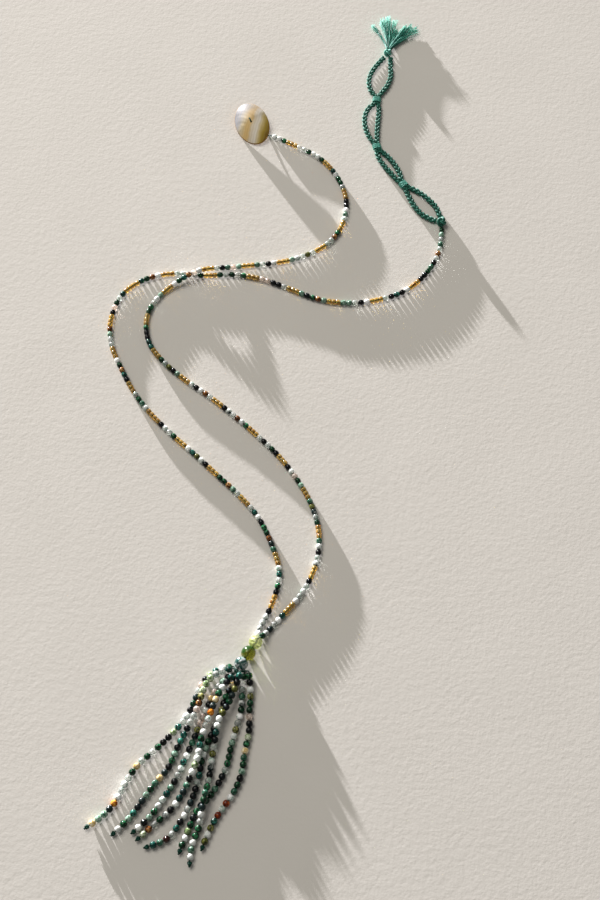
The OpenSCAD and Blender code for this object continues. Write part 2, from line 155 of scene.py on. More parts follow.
def axes_along(line, upward=(0, 0, 1)):
    """Sideways and up at each point of a line, both square to it. Sideways is the cross product of
    a given upward direction and the line's own."""
    forward = unit(np.gradient(line, axis=-2))
    sideways = unit(np.cross(np.array(upward, float), forward))
    return sideways, np.cross(forward, sideways)


def rings_round(line, radius, around, upward=(0, 0, 1)):
    """Rings of points round a line: each point is the line plus the radius times a turning
    direction. The radius is one number, one for each row, or one for each point of each row."""
    turn = (np.arange(around) + 0.5) * 2 * np.pi / around
    sideways, up = axes_along(line, upward)
    out = np.cos(turn)[:, None] * sideways[..., None, :] + np.sin(turn)[:, None] * up[..., None, :]
    return line[..., None, :] + np.asarray(radius)[..., None] * out


def tube_arrays(rings, along):
    """Points, quads, fans and map of closed tubes. rings is tubes x rows x around x 3, and along
    the distance of each row. A quad joins neighbours on neighbouring rings, and a fan of triangles
    closes each end on the middle of its ring. The map holds the share round and the distance."""
    tubes, rows, around = rings.shape[:3]
    size = rows * around + 2
    points = np.concatenate([rings.reshape(tubes, -1, 3), rings[:, [0, -1]].mean(2)], 1)
    k = np.arange(around)
    after = (k + 1) % around
    row = np.arange(rows - 1)[:, None] * around
    quads = np.stack([row + k, row + after, row + around + after, row + around + k], -1)
    end = size - 2 - around
    first_fan = np.stack([0 * k + size - 2, after, k], -1)
    last_fan = np.stack([0 * k + size - 1, end + k, end + after], -1)
    first = np.arange(tubes)[:, None, None] * size
    along = np.broadcast_to(along, (tubes, rows))
    low, high = along[:, :-1, None], along[:, 1:, None]
    u = np.broadcast_to(np.stack([k, k + 1, k + 1, k], -1) / around, (tubes, rows - 1, around, 4))
    v = np.broadcast_to(np.stack([low, low, high, high], -1), u.shape)
    end_v = np.broadcast_to(along[:, [0, -1], None, None], (tubes, 2, around, 3))
    end_map = np.stack([0 * end_v, end_v], -1)
    return (
        points.reshape(-1, 3),
        (first + quads.reshape(1, -1, 4)).reshape(-1, 4),
        (first + np.concatenate([first_fan, last_fan])[None]).reshape(-1, 3),
        np.stack([u, v], -1).reshape(-1, 2),
        end_map.reshape(-1, 2),
    )


def make_piece(name, groups, materials, replaced, values=None, chosen=None, smooth=True):
    """Makes one piece of groups of tubes, each a pair of rings in millimetres and distances. In a
    piece of one group, values holds one value a tube for each named attribute, and chosen the
    material of each tube."""
    made, shown = [], 0
    for rings, along in groups:
        rings = rings[None] if rings.ndim == 3 else rings
        points, quads, fans, quad_map, fan_map = tube_arrays(rings, along)
        made.append((points, quads + shown, fans + shown, quad_map, fan_map))
        shown += len(points)
    points, quads, fans, quad_map, fan_map = (np.concatenate(arrays) for arrays in zip(*made))
    mesh = bpy.data.meshes.new(name)
    mesh.from_pydata((points * MM).tolist(), [], quads.tolist() + fans.tolist())
    layer = mesh.uv_layers.new(name="threads")
    layer.data.foreach_set("uv", np.concatenate([quad_map, fan_map]).astype(np.float32).ravel())
    mesh.polygons.foreach_set("use_smooth", np.full(len(mesh.polygons), smooth))
    for key, per_tube in (values or {}).items():
        per_point = np.repeat(per_tube, shown // len(rings), axis=0).astype(np.float32)
        if per_point.ndim == 2:
            colours = mesh.attributes.new(key, "FLOAT_COLOR", "POINT")
            opaque = np.ones((shown, 1), np.float32)
            colours.data.foreach_set("color", np.hstack([per_point, opaque]).ravel())
        else:
            mesh.attributes.new(key, "FLOAT", "POINT").data.foreach_set("value", per_point)
    for material in materials:
        mesh.materials.append(material)
    if chosen is not None:
        rows, around = rings.shape[1:3]
        per_face = [np.repeat(chosen, (rows - 1) * around), np.repeat(chosen, 2 * around)]
        mesh.polygons.foreach_set("material_index", np.concatenate(per_face).astype(np.int32))
    mesh.update()
    piece = in_scene(name, mesh)
    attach(piece, "root")
    if replaced:
        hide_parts(*replaced)
    return piece


class Shade:
    """A value in a shader. Sums on it add Math nodes, and node() adds any other node."""

    def __init__(self, tree, socket):
        self.tree = tree
        self.socket = socket

    def node(self, kind, settings, inputs, output=0):
        """Adds a node: its settings and ramp stops first, then a value or a link for each input."""
        made = self.tree.nodes.new(kind)
        for name, value in settings.items():
            if name == "stops":
                stops = made.color_ramp.elements
                while len(stops) < len(value):
                    stops.new(1)
                for stop, (place, colour) in zip(stops, value):
                    stop.position = place
                    stop.color = (*colour, 1)
            else:
                setattr(made, name, value)
        for name, value in inputs.items():
            if isinstance(value, Shade):
                self.tree.links.new(value.socket, made.inputs[name])
            else:
                made.inputs[name].default_value = value
        return Shade(self.tree, made.outputs[output])

    def maths(self, operation, *values):
        return self.node("ShaderNodeMath", {"operation": operation}, dict(enumerate(values)))

    def __add__(self, other):
        return self.maths("ADD", self, other)

    def __sub__(self, other):
        return self.maths("SUBTRACT", self, other)

    def __rsub__(self, other):
        return self.maths("SUBTRACT", other, self)

    def __mul__(self, other):
        return self.maths("MULTIPLY", self, other)

    def __truediv__(self, other):
        return self.maths("DIVIDE", self, other)

    __radd__ = __add__
    __rmul__ = __mul__

    def clamped(self, low, high):
        """0 at low, 1 at high, and straight between."""
        return self.node("ShaderNodeMapRange", {"clamp": True}, {0: self, 1: low, 2: high})

    def sine(self):
        return self.maths("SINE", self)

    def noise(self, scale, detail=2, distortion=0):
        """Noise at this point, from 0 to 1."""
        inputs = {"Vector": self, "Scale": scale, "Detail": detail, "Distortion": distortion}
        return self.node("ShaderNodeTexNoise", {}, inputs)

    def mixed(self, one, other):
        """The first colour where this is 0, and the second where it is 1."""
        return self.node("ShaderNodeMix", {"data_type": "RGBA"}, {0: self, 6: one, 7: other}, 2)

    def ramp(self, stops):
        return self.node("ShaderNodeValToRGB", {"stops": stops}, {0: self})

    def of_mesh(self, name, output="Fac"):
        """What the mesh holds for each point under a name. The output Color gives a colour."""
        return self.node("ShaderNodeAttribute", {"attribute_name": name}, {}, output)

    def on_thread(self):
        """The share round the thread and the distance along it, from the piece's map."""
        map_place = self.node("ShaderNodeUVMap", {"uv_map": "threads"}, {})
        parts = map_place.node("ShaderNodeSeparateXYZ", {}, {0: map_place})
        return parts, Shade(self.tree, parts.socket.node.outputs[1])

    def past(self, middle, lean):
        """The lean times the way from a middle to this place, both in millimetres."""
        kind = "ShaderNodeVectorMath"
        away = self.node(kind, {"operation": "SUBTRACT"}, {0: self, 1: (middle * MM).tolist()})
        leaning = (np.array(lean) / MM).tolist()
        return away.node(kind, {"operation": "DOT_PRODUCT"}, {0: away, 1: leaning}, 1)


def start_finish(name, **numbers):
    """A material with the given numbers on its shader's own sockets, and a Shade of the place."""
    material = bpy.data.materials.new(name)
    material.use_nodes = True
    shader = material.node_tree.nodes["Principled BSDF"]
    for socket, value in numbers.items():
        shader.inputs[socket.replace("_", " ")].default_value = value
    start = Shade(material.node_tree, None)
    return material, shader, start.node("ShaderNodeTexCoord", {}, {}, "Object")


def to_shader(shader, **shades):
    """Links shades to a shader's sockets."""
    for socket, shade in shades.items():
        shade.tree.links.new(shade.socket, shader.inputs[socket.replace("_", " ")])


def raised(height, strength, distance):
    """The normal of a surface that is raised by a height times a distance in millimetres."""
    inputs = {"Height": height, "Strength": strength, "Distance": distance * MM}
    return height.node("ShaderNodeBump", {}, inputs)


def thread_finish(name, deep, body, bright, strands):
    """Spun cotton: fine fibres that turn round the yarn, with painted shade that darkens the grooves between
    strands towards the deep colour.
    """
    material, shader, place = start_finish(
        name,
        Roughness=0.5,
        Specular_IOR_Level=0.2,
        Sheen_Weight=0.5,
        Sheen_Roughness=0.25,
        Sheen_Tint=(0.7, 1, 0.9, 1),
    )
    around, run = place.on_thread()
    lay = around * (2 * np.pi * strands) - run * (2 * np.pi / YARN_TURN)
    # Painted shade: this groove mask mixes the colour towards the deep colour between strands, and also
    # shapes the bump.
    groove_shade_and_bump = (lay.sine() * 0.5 + 0.5).clamped(0.05, 0.6)
    unrolled = place.node("ShaderNodeCombineXYZ", {}, {0: around * 22 - run * 2.4, 1: run * 0.5})
    fibre = unrolled.noise(1.6, 3).clamped(0.3, 0.7)
    patch = place.noise(160, 2)
    yarn = (fibre * 0.75 + patch * 0.25).mixed((*body, 1), (*bright, 1))
    to_shader(
        shader,
        Base_Color=(groove_shade_and_bump * 0.7 + 0.3).mixed((*deep, 1), yarn),
        Roughness=0.7 - fibre * 0.25,
        Normal=raised(fibre * 0.5 + groove_shade_and_bump * 0.5, 0.5, 0.1),
    )
    return material


def lobed(run, around, rise):
    """How far yarn bulges round each ring: one plus the rise times the sine of the turn round it,
    times the number of lobes, less the turn that the yarn has made so far."""
    turn = (np.arange(around) + 0.5) / around
    return 1 + rise * np.sin(2 * np.pi * (YARN_LOBES * turn - run[:, None] / YARN_TURN))


def plied(line, phases, sideways, upward, radius, repeat, around, rise, upright=(0, 0, 1)):
    """Yarns laid together along a line. The middle of each swings to the side by the sideways
    reach times the sine of its phase, and up by a reach times the sine of a multiple of the phase
    plus a turn: upward holds that reach, multiple and turn, and a quarter turn makes a twist."""
    side, up = axes_along(line, upright)
    run = run_of(line)
    phase = 2 * np.pi * (run[None] / repeat + np.asarray(phases)[:, None])
    swing = np.asarray(sideways)[..., None] * np.sin(phase)[..., None] * side
    lift = upward[0] * np.sin(upward[1] * phase + upward[2])[..., None] * up
    return rings_round(line + swing + lift, radius * lobed(run, around, rise), around, upright), run


def wrap_ends(wrap, side):
    """Where a cord goes into and comes out of a wrap, beside the middle of the wrap."""
    middle = wrap[:2] + side * CORD_SPACING / 2 * aside(wrap[2])
    ends = (-WRAP_MOUTH, WRAP_MOUTH)
    return [[*(middle + end * WRAP_L * ahead(wrap[2])), WRAP_R] for end in ends]


def cord_line(loops, side):
    """The middle of a closure cord: loop by loop, and through each wrap between them."""
    points = []
    for loop, wrap in zip(loops, [*wraps, None]):
        points += [[*p, CORD_R] for p in loop]
        points += [] if wrap is None else wrap_ends(wrap, side)
    line = smooth_curve(points)
    line[:, 2] = np.maximum(line[:, 2], CORD_R)
    return line + TO_ORIGIN


def closure_cord(name, loops, side, replaced):
    """A braid along a cord's line. It is drawn tight where it goes through a wrap, by a bell curve
    of the distance to the nearest one."""
    line = evenly(cord_line(loops, side), CORD_PITCH)[0]
    to_wraps = np.linalg.norm(line[:, None, :2] - (wraps[:, :2] + TO_ORIGIN[:2]), axis=-1).min(1)
    pinch = np.exp(-((to_wraps / PINCH_REACH) ** 2))
    reach = BRAID_SIDEWAYS * (1 - 0.5 * pinch)
    radius = PLY_R * (1 - 0.25 * pinch[:, None])
    shape = (radius, BRAID_REPEAT, PLY_AROUND, YARN_LOBE_RISE)
    plies = plied(line, np.arange(3) / 3, reach, (BRAID_UP, 2, 0), *shape)
    return make_piece(name, [plies], [braid_cotton], [replaced]), line


# For each cotton: the painted shade colour of its grooves, then the two colours of its fibres.
braid_cotton = thread_finish(
    "braid_cotton", (0, 0.007, 0.004), (0.002, 0.07, 0.044), (0.05, 0.25, 0.18), YARN_LOBES
)
# Painted light: a lighter copy of the braid's cotton, which paints sunlight on the wraps and on the tuft's
# knot.
sunlit_painted_cotton = thread_finish(
    "sunlit_painted_cotton", (0, 0.05, 0.035), (0.04, 0.3, 0.22), (0.2, 0.62, 0.5), YARN_LOBES
)
left_cord, left_line = closure_cord("closure_braid_left", left_loops, -1, "closure_cord_left")
right_cord, right_line = closure_cord("closure_braid_right", right_loops, 1, "closure_cord_right")

# Wraps and knots of the closure: a few turns of the same thread bind the two cords at each waist.
# A full knot joins the cords to the neck string, and another holds them where the threads fray.
# The wraps and the tuft's knot are painted lighter than the braid, as painted sunlight.

WRAP_THREAD_R = 0.25
WRAP_THREAD_AROUND = 7
WRAP_TURNS = 5
WRAP_STEPS = 28
KNOT_STEPS = 90
KNOT_AROUND = 12
KNOT_LOBE_RISE = 0.08
END_KNOT_AT = np.array([71.24, 107.49, 2.3])
END_KNOT_HEADING = 96
TUFT_KNOT_AT = np.array([50.2, 204, 2])
TUFT_HEADING = 79
# Of each knot: its radius, its yarn's radius and its height as a share
END_KNOT = (2.3, 0.85, 1.6)
TUFT_KNOT = (1.9, 0.7, 1.7)


def wound(wrap):
    """A thread that climbs along both cords while it goes round them: round the right cord, over
    to the left one, round that, and back underneath."""
    share = np.linspace(0, WRAP_TURNS, WRAP_TURNS * WRAP_STEPS + 1)
    turn = 2 * np.pi * share
    reach = WRAP_R - WRAP_THREAD_R
    across = reach * np.cos(turn) + CORD_SPACING / 2 * np.tanh(4 * np.cos(turn))
    up = reach * np.sin(turn)
    out = (share / WRAP_TURNS - 0.5) * (WRAP_L - 2 * WRAP_THREAD_R)
    flat = wrap[:2] + across[:, None] * aside(wrap[2]) + out[:, None] * ahead(wrap[2])
    line = np.column_stack([flat, WRAP_R + up]) + TO_ORIGIN
    nearly_ahead = (*ahead(wrap[2]), 0.01)
    return rings_round(line, WRAP_THREAD_R, WRAP_THREAD_AROUND, nearly_ahead), run_of(line)


def knotted(middle, heading, size, thick, tall):
    """A tight knot: a line that goes twice round a ring while it turns three times about it."""
    turn = np.linspace(0, 2 * np.pi, KNOT_STEPS)
    ring = size - thick
    far = 0.66 * ring + 0.34 * ring * np.cos(3 * turn)
    out, across = far * np.cos(2 * turn), far * np.sin(2 * turn)
    flat = out[:, None] * ahead(heading) + across[:, None] * aside(heading)
    line = np.column_stack([flat, 0.5 * tall * ring * np.sin(3 * turn)]) + middle + TO_ORIGIN
    run = run_of(line)
    radius = thick * lobed(run, KNOT_AROUND, KNOT_LOBE_RISE)
    return rings_round(line, radius, KNOT_AROUND, (0.2, 0.1, 1)), run


wrap_pieces = []
for number, wrap in enumerate(wraps, 1):
    node = f"loop_wrap_{number}"
    wrap_pieces.append(make_piece(f"wrap_thread_{number}", [wound(wrap)], [sunlit_painted_cotton], [node]))

end_knot = knotted(END_KNOT_AT, END_KNOT_HEADING, *END_KNOT)
make_piece("end_knot_thread", [end_knot], [braid_cotton], ["end_knot"])

# Tuft: the plies of both cords, combed out beyond the last knot into loose threads. They lie in
# two main locks with stray threads between them. Their colour is painted: dark near the knot as
# painted shade, pale towards the tips as painted sunlight, and lighter or darker by a painted light
# for each lock.

TUFT_SPREAD = 40
TUFT_L = 21.8
TUFT_ROWS = 12
TUFT_AROUND = 5
TUFT_THREADS = 230
tuft_random = np.random.default_rng(11)


def tuft_threads():
    """Loose threads from the knot. Each bends from its lock's direction towards its own tip, and
    sags to the surface; a small swing to the side makes the crimp that the braid leaves."""
    locks = np.array([0.86, 0.42, 0.22, 0.02, -0.2, -0.46, -0.62, -0.82, -0.97])
    lock_reach = np.array([0.84, 0.96, 1.03, 0.98, 0.72, 0.86, 0.95, 1.0, 0.95])
    weight = np.array([1, 2, 3, 1.4, 1.2, 2.4, 3, 1.6, 0.6])
    each = (TUFT_THREADS, 1)
    chosen = tuft_random.choice(len(locks), TUFT_THREADS, p=weight / weight.sum())
    fan = locks[chosen] + tuft_random.normal(0, 0.05, TUFT_THREADS)
    reach = TUFT_L * lock_reach[chosen] * tuft_random.uniform(0.9, 1.0, TUFT_THREADS)
    # Painted light: a random brightness for each lock and each thread, which the finish adds to the colour.
    lock_lit = tuft_random.uniform(-0.22, 0.22, len(locks))
    lit = lock_lit[chosen] + tuft_random.normal(0, 0.1, TUFT_THREADS)
    t = np.linspace(0, 1, TUFT_ROWS)
    turn = np.clip(fan, -0.98, 0.98)[:, None] * TUFT_SPREAD * (0.6 + 0.4 * t) + TUFT_HEADING
    crimp = tuft_random.uniform(0.15, 0.45, each)
    waves = tuft_random.uniform(1.6, 2.6, each)
    swing = crimp * np.sin(2 * np.pi * (t * waves + tuft_random.random(each))) * t
    far = 1.2 + t * (reach[:, None] - 1.2)
    flat = far[..., None] * ahead(turn) + swing[..., None] * aside(turn)
    start = tuft_random.uniform(1.0, 3.2, each)
    tip = tuft_random.uniform(0.4, 3.3, each)
    up = start * (1 - t) ** 1.5 + tip * t
    line = np.concatenate([flat + TUFT_KNOT_AT[:2], np.maximum(up, 0.15)[..., None]], -1) + TO_ORIGIN
    return (rings_round(line, (0.15 - 0.05 * t)[:, None], TUFT_AROUND), t * TUFT_L), lit


frayed_cotton, tuft_shader, tuft_place = start_finish(
    "frayed_cotton", Roughness=0.7, Sheen_Weight=0.5, Sheen_Roughness=0.4, Sheen_Tint=(0.7, 1, 0.92, 1)
)
tuft_share = tuft_place.on_thread()[1] / TUFT_L
# Painted light and shade: paler along each thread towards its tip and by its painted lit value, darker near
# the knot.
tuft_light = tuft_share * 0.55 + tuft_place.noise(420, 2) * 0.6 + tuft_place.of_mesh("lit")
tuft_green = tuft_light.clamped(0.15, 0.95).ramp(
    [(0, (0, 0.05, 0.035)), (0.5, (0.006, 0.22, 0.16)), (1, (0.14, 0.52, 0.4))]
)
to_shader(tuft_shader, Base_Color=tuft_green, Normal=raised(tuft_place.noise(2600, 2), 0.5, 0.06))
loose_threads, lit = tuft_threads()
tuft = make_piece("tuft_threads", [loose_threads], [frayed_cotton], ["cord_tuft"], {"lit": lit})
tuft_knot = make_piece(
    "tuft_knot_thread", [knotted(TUFT_KNOT_AT, TUFT_HEADING, *TUFT_KNOT)], [sunlit_painted_cotton], []
)

for cord_piece, line, on_it in (
    (left_cord, left_line, [*wrap_pieces, tuft_knot, tuft]),
    (right_cord, right_line, []),
):
    line[0] * MM
    (line * MM).tolist()

# Shell button: an oval domed disc cut from mother-of-pearl, hollow underneath, with two holes. It
# is sewn on with green thread that shows as one short stitch on top, and has a knot underneath.

SHELL_R = 7.5
SHELL_STRETCH = 11 / SHELL_R
SHELL_EDGE = 0.9
DOME_TOP = 4.3
HOLLOW = 2.1
SHELL_TILT = np.radians(15)
SHELL_TURN = np.radians(-67)
TILT_HEADING = np.radians(-45)
STITCH_X = 1
BUTTON_AT = np.array([-12.77, 161.65, 2.09]) + TO_ORIGIN
STRING_SIDE = np.array([0.835, -0.551])
RIM_TOWARDS_STRING = 9.48
DOME_ROWS = 44
HOLLOW_ROWS = 16
BUTTON_AROUND = 96
HOLE_R = 0.45
HOLE_AROUND = 24


def turned(turn):
    """The matrix of a turn about z."""
    c, s = np.cos(turn), np.sin(turn)
    return np.array([[c, -s, 0], [s, c, 0], [0, 0, 1]])


def on_button(points):
    """Points drawn flat about the middle of the rim: turned to the button's heading, tilted about
    another heading, and moved to where the button lies."""
    c, s = np.cos(SHELL_TILT), np.sin(SHELL_TILT)
    tilt = np.array([[1, 0, 0], [0, c, -s], [0, s, c]])
    laid = turned(TILT_HEADING) @ tilt @ turned(SHELL_TURN - TILT_HEADING)
    return points @ laid.T + BUTTON_AT


def cap_height(radius, rise):
    """The height of a sphere's cap of the button's radius and a given rise, at a radius."""
    sphere = (SHELL_R**2 + rise**2) / (2 * rise)
    return np.sqrt(np.maximum(sphere**2 - radius**2, 0)) - sphere + rise


def shell_rings():
    """The button as rings from the top down over the dome, round the rim and back under it.
    Growth ridges lift the dome by a few hundredths of a millimetre."""
    share = np.linspace(0.01, 1, DOME_ROWS)
    out = SHELL_R * np.sin(share * np.pi / 2) ** 0.9
    dome = np.column_stack([out * 0.985, SHELL_EDGE + cap_height(out, DOME_TOP - SHELL_EDGE)])
    rim = np.array([[0.997, 0.78], [1, 0.6], [1, 0.3], [0.992, 0.12], [0.975, 0.02]])
    under = SHELL_R * np.linspace(0.95, 0.01, HOLLOW_ROWS)
    inside = np.column_stack([under, cap_height(under, HOLLOW)])
    profile = np.vstack([dome, rim * [SHELL_R, SHELL_EDGE], inside])
    turn = np.arange(BUTTON_AROUND) * 2 * np.pi / BUTTON_AROUND
    radius, height = profile[:, :1], profile[:, 1:]
    x, y = radius * np.cos(turn), -radius * np.sin(turn)
    top = (np.arange(len(profile)) < DOME_ROWS)[:, None]
    ridge = 0.02 * np.sin(1.9 * np.hypot(x - 5, y + 6)) + 0.012 * np.sin(4.3 * np.hypot(x - 4, y + 7))
    fade = np.clip((1 - radius / SHELL_R) * 6, 0, 1) * np.clip(radius / 2, 0, 1)
    return np.stack([x * SHELL_STRETCH, y, height + top * ridge * fade], -1)


def pearl_finish():
    """Mother-of-pearl: growth bands that run down the shell, from silver through cream, gold and
    pale grey to olive, waved by noise, with a thin polish. The rim shows the dark gold outer layer.
    The band colours also hold painted light: the side that faces the low sun is painted darker, and
    the shaded near side lighter."""
    material, shader, place = start_finish(
        "mother_of_pearl", Roughness=0.55, Coat_Weight=0.06, Coat_Roughness=0.2, Specular_IOR_Level=0.15
    )
    wave = place.noise(150, 2)
    fine = place.noise(900, 3)
    across = place.past(BUTTON_AT, (0.96, -0.28, 0))
    upward = place.past(BUTTON_AT, (-0.3, 0.95, 0))
    depth = (across / 17 + 0.5 + (wave - 0.5) * 0.22 + (fine - 0.5) * 0.03).clamped(0, 1)
    # The bands are the shell's own colours with painted light in them: the silver end, on the sunward side,
    # is set darker, and the pale grey band away from the sun is set lighter.
    bands = depth.ramp(
        [
            (0, (0.3, 0.33, 0.4)), (0.16, (0.42, 0.42, 0.42)), (0.28, (0.7, 0.6, 0.4)),
            (0.4, (0.74, 0.52, 0.22)), (0.5, (0.72, 0.5, 0.21)), (0.57, (0.76, 0.66, 0.5)),
            (0.68, (0.88, 0.82, 0.72)), (0.78, (0.72, 0.58, 0.28)), (0.88, (0.46, 0.32, 0.05)),
            (1, (0.22, 0.12, 0.01)),
        ]
    )
    # Painted shade: towards the far rim, which faces the sun, the colour is mixed towards a dark blue grey.
    pale = (upward.clamped(-1, 6) * (1 - depth * 0.6)).mixed(bands, (0.11, 0.118, 0.135, 1))
    lines = (across * 5.5 + wave * 9).sine() * 0.5 + 0.5
    lined = (lines * 0.2).mixed(pale, (0.4, 0.3, 0.16, 1))
    edge = place.of_mesh("edge")
    coloured = edge.clamped(0.78, 0.95).mixed(lined, (0.26, 0.13, 0.015, 1))
    to_shader(
        shader,
        Base_Color=coloured,
        Roughness=0.5 + fine * 0.12,
        Coat_Weight=0.06 - edge.clamped(0.8, 1) * 0.06,
        Normal=raised(lines * 0.3 + fine * 0.2, 0.1, 0.04),
    )
    return material


button_rings = shell_rings()
button_turned = (on_button(button_rings), np.arange(len(button_rings)))
button = make_piece("pearl_button", [button_turned], [pearl_finish()], ["shell_button"])
row_edge = np.concatenate([np.linspace(0, 0.9, DOME_ROWS), np.ones(len(button_rings) - DOME_ROWS)])
point_edge = np.append(np.repeat(row_edge, BUTTON_AROUND), [0, 1]).astype(np.float32)
button.data.attributes.new("edge", "FLOAT", "POINT").data.foreach_set("value", point_edge)

for hole_x in (-STITCH_X, STITCH_X):
    hole_line = on_button(np.array([[hole_x, 0, z] for z in (-1, 2, 4, 6)]))
    hole_rings = rings_round(hole_line, HOLE_R, HOLE_AROUND, (0, 1, 0))
    points, quads, fans = tube_arrays(hole_rings[None], np.zeros(4))[:3]
    drill_mesh = bpy.data.meshes.new("drill")
    drill_mesh.from_pydata((points * MM).tolist(), [], quads.tolist() + fans.tolist())
    drill = in_scene("drill", drill_mesh)
    cut = button.modifiers.new("hole", "BOOLEAN")
    cut.object = drill
    cut.solver = "EXACT"
    drilled = bpy.data.meshes.new_from_object(button.evaluated_get(bpy.context.evaluated_depsgraph_get()))
    drilled.set_sharp_from_angle(angle=np.radians(40))
    button.modifiers.clear()
    button.data = drilled
    bpy.data.objects.remove(drill)

# Its first colour is the painted shade in the grooves of the thread.
thread_cotton = thread_finish("thread_cotton", (0, 0.005, 0.003), (0, 0.022, 0.013), (0.004, 0.07, 0.045), 2)
# The stitch's points, across the button and up
stitch_points = [[-1, 1.2], [-1, 2.7], [-1, 3.9], [-0.55, 4.72], [0.55, 4.72], [1, 3.9], [1, 2.7], [1, 0.7]]
stitch_line = evenly(on_button(np.insert(smooth_curve(stitch_points), 1, 0, axis=1)), 0.18)[0]
stitch = plied(
    stitch_line, [0, 0.5], 0.17, (0.17, 1, np.pi / 2), radius=0.18, repeat=1.3, around=7, rise=0,
    upright=(0.93, 0.37, 0.1),
)
under_hole = on_button(np.array([STITCH_X, 0, 1.1])) - TO_ORIGIN
stitch_knot = knotted(under_hole, heading=20, size=0.8, thick=0.3, tall=1.2)
make_piece("button_thread", [stitch, stitch_knot], [thread_cotton], ["button_stitch"])

# Neck strings: two strands of small polished stones, in short runs divided by three or four amber
# glass seed beads. One comes from the button and the other from the closure, and the first lies
# over the second where they cross. Both go on to the lime bead.

NECK_R = 1.25
THREAD_R = 0.27
THREAD_AROUND = 8
THREAD_IN = 0.35
CROSSING = np.array([-35.5, 80.4]) + TO_ORIGIN[:2]
CROSSING_REACH = 16
CROSSING_LIFT = 2.9
JUNCTION_AT = np.array([-6.7, -85.8, 2.8])
JUNCTION_HEADING = 238
LEAD_POINTS = 60
AMBER_SIZE = (1.9, 2.3)
STONE_SIZE = (2.5, 2.5)
BEAD_AROUND = 12
BEAD_CLOSE = 0.985
CLEAR_SHARE = 0.45

neck_a_route = [
    [-3.6, 155.6], [7, 150], [18, 143], [25.5, 133], [29.5, 120.5], [28, 107.5], [21.5, 97], [10.5, 90],
    [-2, 86.5], [-15, 85], [-27.5, 83], [-39.5, 78.5], [-50, 71], [-56, 60], [-55, 47], [-48, 36.5],
    [-38.2, 27.6], [-28, 19.8], [-18.4, 11.4], [-9, 2.5], [0, -7], [7.5, -17.5], [13.5, -29],
    [16.5, -41.5], [15.5, -54], [10.5, -66], [2.5, -76], [-3.8, -83.4],
]
neck_b_route = [
    [71.5, 105], [69.5, 92], [63.5, 81], [54, 72], [42, 67.5], [29.5, 66], [16.5, 68], [5, 73], [-7, 78],
    [-19.5, 80.5], [-32.5, 80], [-45.5, 81], [-58, 78], [-67.5, 70], [-71.5, 57.5], [-70.5, 45],
    [-65.5, 33], [-59.5, 21.5], [-52, 11.5], [-43, 2], [-33.5, -7], [-24.5, -16], [-15.5, -25],
    [-7.5, -35], [-2, -47], [1, -59], [-1.8, -71.5], [-6.8, -82.4],
]
# Beads in order. W white, K black, G dark green, T teal, M mint, O olive, B brown, P spotted white,
# L pale olive, Y cream, A orange, R red, D dark brown, C clear pink, a for an amber seed bead, and
# a space for three of those
neck_a_beads = (
    "WWG WWGWWG TWGGW KKWMW GBWW WOWWM WKWM MCMKW WCBTGW MWWGG "
    "GKKTT GWOKM WKWBW KPWBWG WKWGK KWCGM MOPWG MWKWP KWWWW TWWPPG"
)
neck_b_beads = (
    "GMWMWBWKMGKK WKTKW WKWMM MBGKM WKKCC GWGWG GWWWW WBGT aTWGCK "
    "BMWW WGBTK WGMW aKWWG WTOWK GGBMW WTWKGGBPM WTWGK KPPPW"
)
# For each kind: the body colour, the colour of its veins, and how much of it the veins cover
stone_kinds = {
    "W": ((0.88, 0.9, 0.88), (0.3, 0.42, 0.35), 0.28),
    "K": ((0.0005, 0.001, 0.002), (0.003, 0.012, 0.016), 0.25),
    "G": ((0.001, 0.035, 0.012), (0.03, 0.2, 0.08), 0.32),
    "T": ((0.001, 0.045, 0.036), (0.035, 0.2, 0.15), 0.35),
    "M": ((0.32, 0.46, 0.37), (0.02, 0.1, 0.06), 0.42),
    "O": ((0.09, 0.1, 0.015), (0.34, 0.34, 0.12), 0.38),
    "B": ((0.16, 0.055, 0.012), (0.5, 0.28, 0.09), 0.35),
    "D": ((0.03, 0.007, 0.005), (0.12, 0.03, 0.02), 0.3),
    "P": ((0.74, 0.78, 0.75), (0.008, 0.02, 0.02), 0.68),
    "C": ((0.95, 0.82, 0.74), (0.95, 0.84, 0.74), 0.2),
    "L": ((0.2, 0.3, 0.12), (0.66, 0.72, 0.56), 0.42),
    "Y": ((0.66, 0.5, 0.22), (0.86, 0.78, 0.56), 0.4),
    "A": ((0.62, 0.24, 0.015), (0.85, 0.5, 0.1), 0.35),
    "R": ((0.2, 0.02, 0.002), (0.5, 0.12, 0.015), 0.3),
    "a": ((1, 0.7, 0.18), (0.3, 0.11, 0.006), 0.4),
}
bead_random = np.random.default_rng(5)


def mirrored(half):
    """A bead's outline from hole to hole: the rows of one half, then the same backwards. A row is a
    share of the bead's radius and a share of half its length."""
    return np.array(half + [[out, -on] for out, on in reversed(half)])


stone_form = mirrored([[0.16, -0.8], [0.36, -1], [0.74, -0.8], [0.97, -0.34]])
seed_form = mirrored([[0.2, -0.75], [0.45, -1], [0.86, -0.84], [1, -0.4]])
thread_form = mirrored([[1, -1]])


def bead_rings(line, starts, lengths, widths, forms, close=1):
    """Beads as closed turned shapes. Each outline is turned about the chord between two places on
    the line a length apart, and is drawn that long times a share called close."""
    before, after = at_distance(line, starts), at_distance(line, starts + lengths)
    forwards = unit(after - before)
    sideways = unit(np.cross([0, 0, 1.0], forwards))
    up = np.cross(forwards, sideways)
    turn = (np.arange(BEAD_AROUND) + 0.5) * 2 * np.pi / BEAD_AROUND
    round_it = np.cos(turn)[:, None] * sideways[:, None] + np.sin(turn)[:, None] * up[:, None]
    out = (forms[..., 0] * widths[:, None] / 2)[..., None, None]
    on = (forms[..., 1] * (lengths * close)[:, None] / 2)[..., None, None]
    return (before + after)[:, None, None] / 2 + on * forwards[:, None, None] + out * round_it[:, None]


